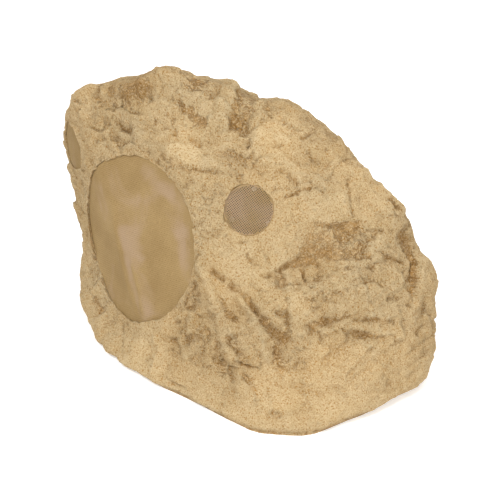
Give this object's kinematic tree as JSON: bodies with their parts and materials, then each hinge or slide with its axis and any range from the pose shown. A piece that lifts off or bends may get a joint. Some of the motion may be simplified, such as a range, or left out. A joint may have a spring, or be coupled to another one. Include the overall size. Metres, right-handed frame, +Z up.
{
  "type": "rock shaped garden speaker",
  "caption": "Moulded boulder that hides loudspeaker drivers behind perforated grilles that follow its faces, with a screwed bottom plate, a crossover inside and a cable gland at the back.",
  "frame": {"origin": "on the ground, under the middle of the box around the boulder", "axes": "the large driver faces -Y, +X runs to the right of someone who looks at it, +Z is up"},
  "size_m": [0.4961, 0.334, 0.33],
  "materials": {
    "moulded_rock": "rough sand-textured moulding",
    "grille_sheet": "matt tan powder coat",
    "black_plastic": "fine matt moulding",
    "foam": "closed cell foam",
    "seal_rubber": "matt",
    "screw_steel": "plain stainless",
    "basket_steel": "satin black coat",
    "cone_plastic": "fine matt",
    "copper_winding": "enamelled wire",
    "treated_cloth": "resin treated weave",
    "plated_steel": "zinc plated",
    "ferrite": "dull fired ceramic",
    "magnet_alloy": "nickel plated",
    "tinned_brass": "tinned",
    "dome_film": "thin film",
    "circuit_board": "solder mask",
    "white_plastic": "plain",
    "capacitor_film": "wrapped film",
    "ceramic": "fired",
    "terminal_plastic": "plain"
  },
  "bodies": {
    "speaker": {"rock_shell": "moulded_rock", "base_plate": "black_plastic", "base_gasket": "foam", "base_screws": "screw_steel", "gland_body": "black_plastic", "gland_seal": "seal_rubber", "gland_cap": "black_plastic", "gland_locknut": "black_plastic", "woofer_grille": "grille_sheet", "woofer_gasket": "foam", "woofer_basket": "basket_steel", "woofer_surround": "seal_rubber", "woofer_spider": "treated_cloth", "woofer_top_plate": "plated_steel", "woofer_magnet": "ferrite", "woofer_pole_piece": "plated_steel", "woofer_terminals": "tinned_brass", "woofer_screws": "screw_steel", "left_tweeter_grille": "grille_sheet", "left_tweeter_gasket": "foam", "left_tweeter_plate": "black_plastic", "left_tweeter_dome": "dome_film", "left_tweeter_coil": "copper_winding", "left_tweeter_pole": "plated_steel", "left_tweeter_magnet": "magnet_alloy", "left_tweeter_cup": "plated_steel", "left_tweeter_screws": "screw_steel", "right_tweeter_grille": "grille_sheet", "right_tweeter_gasket": "foam", "right_tweeter_plate": "black_plastic", "right_tweeter_dome": "dome_film", "right_tweeter_coil": "copper_winding", "right_tweeter_pole": "plated_steel", "right_tweeter_magnet": "magnet_alloy", "right_tweeter_cup": "plated_steel", "right_tweeter_screws": "screw_steel", "crossover_board": "circuit_board", "crossover_standoffs": "white_plastic", "crossover_screws": "screw_steel", "crossover_bobbin": "white_plastic", "crossover_coil": "copper_winding", "crossover_capacitors": "capacitor_film", "crossover_resistors": "ceramic", "crossover_terminals": "terminal_plastic"},
    "cone_assembly": {"woofer_cone": "cone_plastic", "woofer_dust_cap": "cone_plastic", "woofer_voice_coil": "copper_winding"}
  },
  "joints": [
    {"name": "cone_travel", "type": "slide", "parent": "speaker", "child": "cone_assembly", "axis": [0, -0.9537, 0.3007], "range_m": [-0.0045, 0.0045], "stiffness_N_per_m": 2000, "deforming": ["woofer_surround", "woofer_spider"]}
  ]
}
